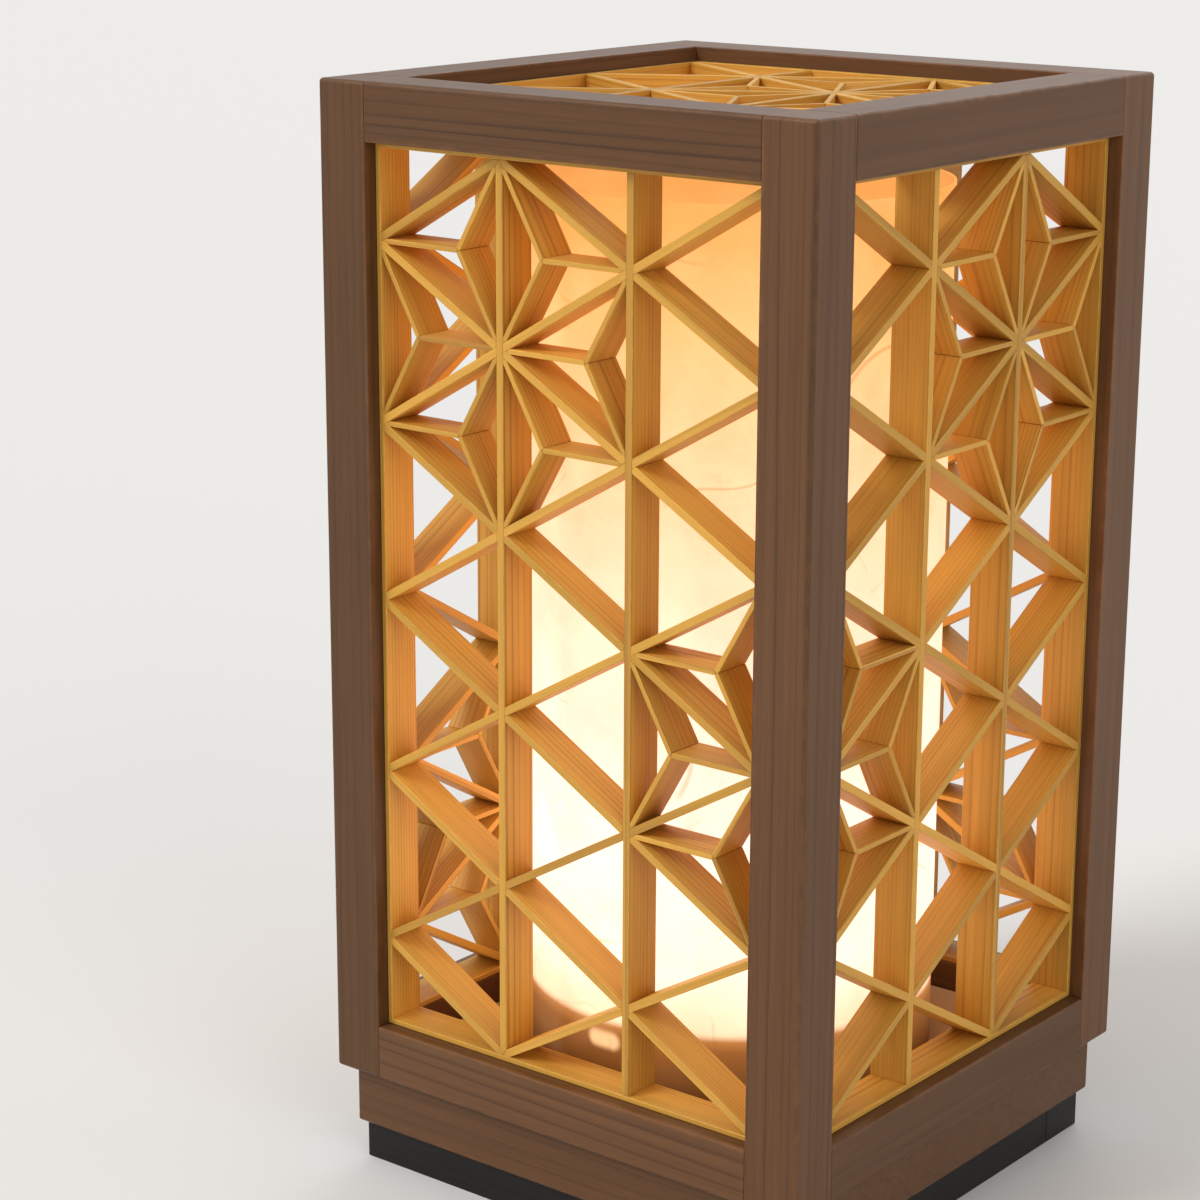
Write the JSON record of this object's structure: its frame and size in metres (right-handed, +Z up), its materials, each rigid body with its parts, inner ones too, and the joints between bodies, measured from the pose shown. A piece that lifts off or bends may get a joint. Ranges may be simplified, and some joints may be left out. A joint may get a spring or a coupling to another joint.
{
  "type": "andon table lamp",
  "caption": "Wooden andon table lamp: square frame with kumiko asanoha lattice panels, lifting off a round washi paper cylinder, bulb and stepped black-footed base.",
  "frame": {"origin": "middle of the footprint on the floor under the lamp", "axes": "+Z up along the lamp; front is -Y, right is +X"},
  "size_m": [0.1304, 0.1304, 0.2517],
  "materials": {
    "cedar": "satin",
    "hinoki": "satin",
    "plain_wood": "matte",
    "black_wood": "satin",
    "washi": "matte",
    "holder_ceramic": "gloss",
    "brass": "satin",
    "steel": "satin",
    "bush_rubber": "matte",
    "bulb_glass": "frosted",
    "clear_glass": "gloss",
    "black_glass": "gloss"
  },
  "bodies": {
    "base": {"base_board": "cedar", "locating_board": "plain_wood", "front_plinth_rail": "black_wood", "right_plinth_rail": "black_wood", "back_plinth_rail": "black_wood", "left_plinth_rail": "black_wood", "cord_bush": "bush_rubber", "vent_ring": "plain_wood", "lamp_holder": "holder_ceramic", "holder_shell": "brass", "centre_contact": "brass", "holder_screws": "steel"},
    "shade": {"front_left_post": "cedar", "front_right_post": "cedar", "back_left_post": "cedar", "back_right_post": "cedar", "front_bottom_rail": "cedar", "front_top_rail": "cedar", "right_bottom_rail": "cedar", "right_top_rail": "cedar", "back_bottom_rail": "cedar", "back_top_rail": "cedar", "left_bottom_rail": "cedar", "left_top_rail": "cedar", "front_border_slats": "hinoki", "front_upright_slats": "hinoki", "front_rising_slats": "hinoki", "front_falling_slats": "hinoki", "front_star_leaves": "hinoki", "right_border_slats": "hinoki", "right_upright_slats": "hinoki", "right_rising_slats": "hinoki", "right_falling_slats": "hinoki", "right_star_leaves": "hinoki", "back_border_slats": "hinoki", "back_upright_slats": "hinoki", "back_rising_slats": "hinoki", "back_falling_slats": "hinoki", "back_star_leaves": "hinoki", "left_border_slats": "hinoki", "left_upright_slats": "hinoki", "left_rising_slats": "hinoki", "left_falling_slats": "hinoki", "left_star_leaves": "hinoki", "top_border_slats": "hinoki", "top_upright_slats": "hinoki", "top_rising_slats": "hinoki", "top_falling_slats": "hinoki", "top_star_leaves": "hinoki"},
    "paper": {"paper_cylinder": "washi"},
    "bulb": {"bulb_glass": "bulb_glass", "bulb_stem": "clear_glass", "bulb_filament": "steel", "bulb_leads": "steel", "bulb_cap": "brass", "bulb_insulator": "black_glass", "bulb_tip": "steel"}
  },
  "joints": [
    {"name": "shade_lift", "type": "slide", "parent": "base", "child": "shade", "axis": [0, 0, 1], "range_m": [0, 0.22]},
    {"name": "paper_lift", "type": "slide", "parent": "base", "child": "paper", "axis": [0, 0, 1], "range_m": [0, 0.008]},
    {"name": "bulb_turn", "type": "hinge", "parent": "base", "child": "bulb", "pos_m": [0, 0, 0.045], "axis": [0, 0, 1], "range_deg": [0, 720]}
  ]
}
